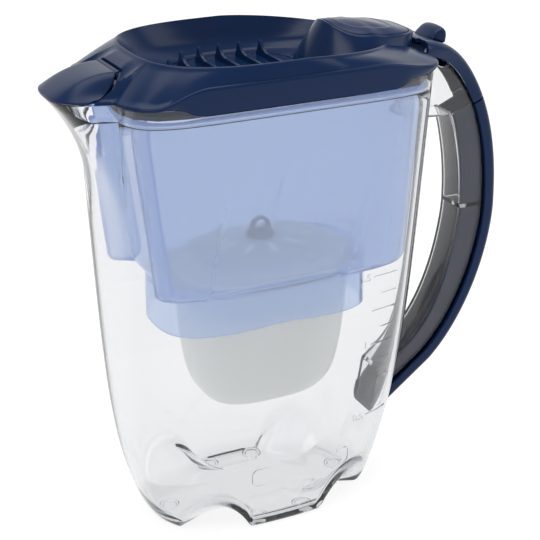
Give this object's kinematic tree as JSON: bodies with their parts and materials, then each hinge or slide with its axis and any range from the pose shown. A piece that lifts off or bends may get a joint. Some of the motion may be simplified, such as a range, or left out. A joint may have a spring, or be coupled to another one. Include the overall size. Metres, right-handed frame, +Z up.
{
  "type": "water filter pitcher with flip lid",
  "caption": "Clear water filter pitcher with a dark flip-open lid, spout flap, thumb lever, U-shaped handle cover, blue tub and a lift-out filter cartridge.",
  "frame": {"origin": "centre of the whole pitcher's box, on the table under its feet", "axes": "+Z up, -X towards the spout, +X towards the handle, +Y across to the far side of the pictured view; millimetres in the source"},
  "size_m": [0.272, 0.113, 0.28],
  "materials": {
    "clear_plastic": "clear, glossy",
    "navy_plastic": "dark blue, satin gloss",
    "blue_plastic": "translucent blue, glossy",
    "frosted_plastic": "frosted white",
    "seal_rubber": "soft seal",
    "media": "packed grains",
    "mesh": "fine mesh",
    "steel": "drawn"
  },
  "bodies": {
    "jug": {"jug": "clear_plastic", "handle_cover": "navy_plastic", "handle_crown": "navy_plastic"},
    "reservoir": {"reservoir": "blue_plastic"},
    "cartridge": {"filter_bowl": "frosted_plastic", "filter_seal": "seal_rubber", "filter_media": "media", "lower_mesh": "mesh", "upper_mesh": "mesh", "filter_cap": "frosted_plastic", "filter_tab": "frosted_plastic"},
    "lid": {"lid_shell": "navy_plastic", "lid_tray": "navy_plastic", "hood_cap": "navy_plastic", "lever_bracket": "navy_plastic", "lever_pin": "steel", "lever_spring": "steel", "hatch_pin": "steel", "hatch_spring": "steel", "flap_bracket": "navy_plastic", "flap_pin": "steel"},
    "lever": {"thumb_lever": "navy_plastic"},
    "hatch": {"fill_hatch": "navy_plastic"},
    "flap": {"flap_hinge": "navy_plastic", "spout_flap": "navy_plastic"}
  },
  "joints": [
    {"name": "reservoir_lift", "type": "slide", "parent": "jug", "child": "reservoir", "axis": [0, 0, 1], "range_m": [0, 0.2]},
    {"name": "cartridge_lift", "type": "slide", "parent": "reservoir", "child": "cartridge", "axis": [0, 0, 1], "range_m": [0, 0.07]},
    {"name": "lid_lift", "type": "slide", "parent": "reservoir", "child": "lid", "axis": [0, 0, 1], "range_m": [0, 0.1]},
    {"name": "lever_press", "type": "hinge", "parent": "lid", "child": "lever", "pos_m": [0.084, 0, 0.2585], "axis": [0, 1, 0], "range_deg": [0, 12], "stiffness_Nm_per_rad": 0.25, "springref_deg": -5.73},
    {"name": "hatch_swing", "type": "hinge", "parent": "lid", "child": "hatch", "pos_m": [0.019, 0, 0.258], "axis": [0, 1, 0], "range_deg": [-42, 0]},
    {"name": "flap_lift", "type": "hinge", "parent": "lid", "child": "flap", "pos_m": [-0.1004, 0, 0.2676], "axis": [0, 1, 0], "range_deg": [0, 60]}
  ],
  "couplings": [
    {"joint": "hatch_swing", "follows": "lever_press", "ratio": -3.4}
  ]
}
